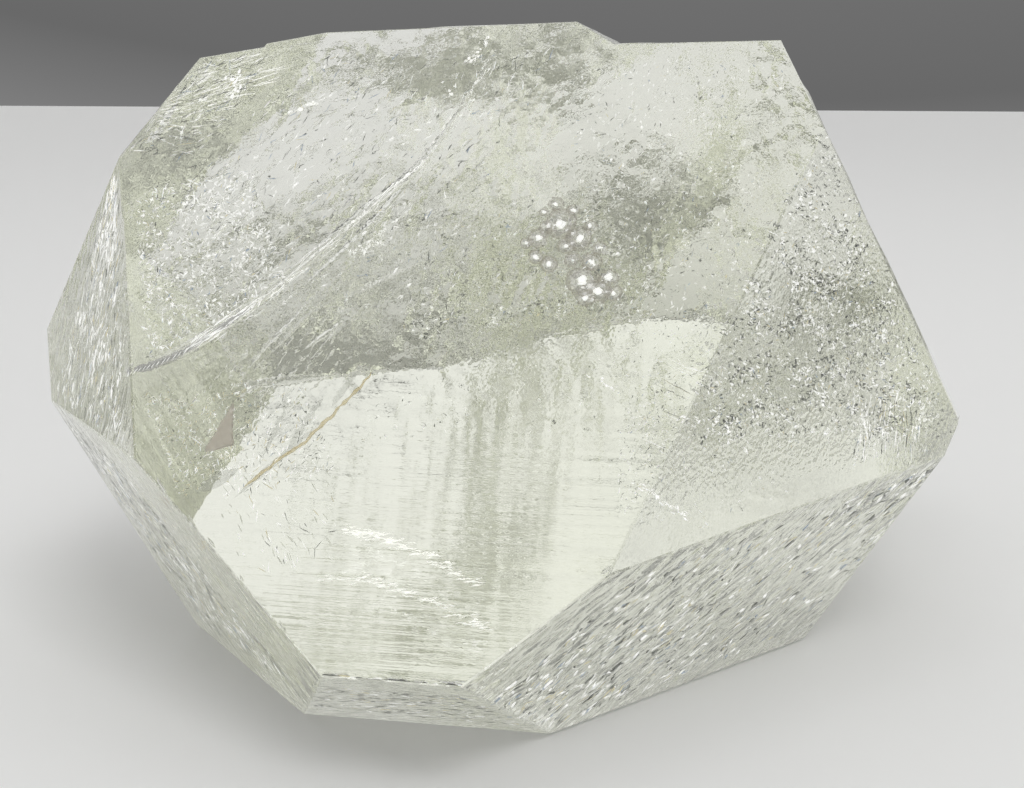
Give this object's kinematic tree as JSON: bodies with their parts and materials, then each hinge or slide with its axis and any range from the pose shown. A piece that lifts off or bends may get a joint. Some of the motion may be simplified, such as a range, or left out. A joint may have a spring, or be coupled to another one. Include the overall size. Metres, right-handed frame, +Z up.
{
  "type": "quartz point",
  "caption": "Clear quartz crystal lying on a prism face, with a faceted point, ledged prism faces and a broken root.",
  "frame": {"origin": "middle of the crystal's box on X and Y, on the flat prism face that it lies on", "axes": "+Z up from that face, -Y along the crystal's long axis towards its point, +X to the right as the point is faced"},
  "size_m": [0.0618, 0.0722, 0.0405],
  "materials": {
    "clear_quartz": "clear, polished point faces, striated prism faces, rough broken root"
  },
  "bodies": {
    "root": {"quartz_point": "clear_quartz"}
  },
  "joints": []
}
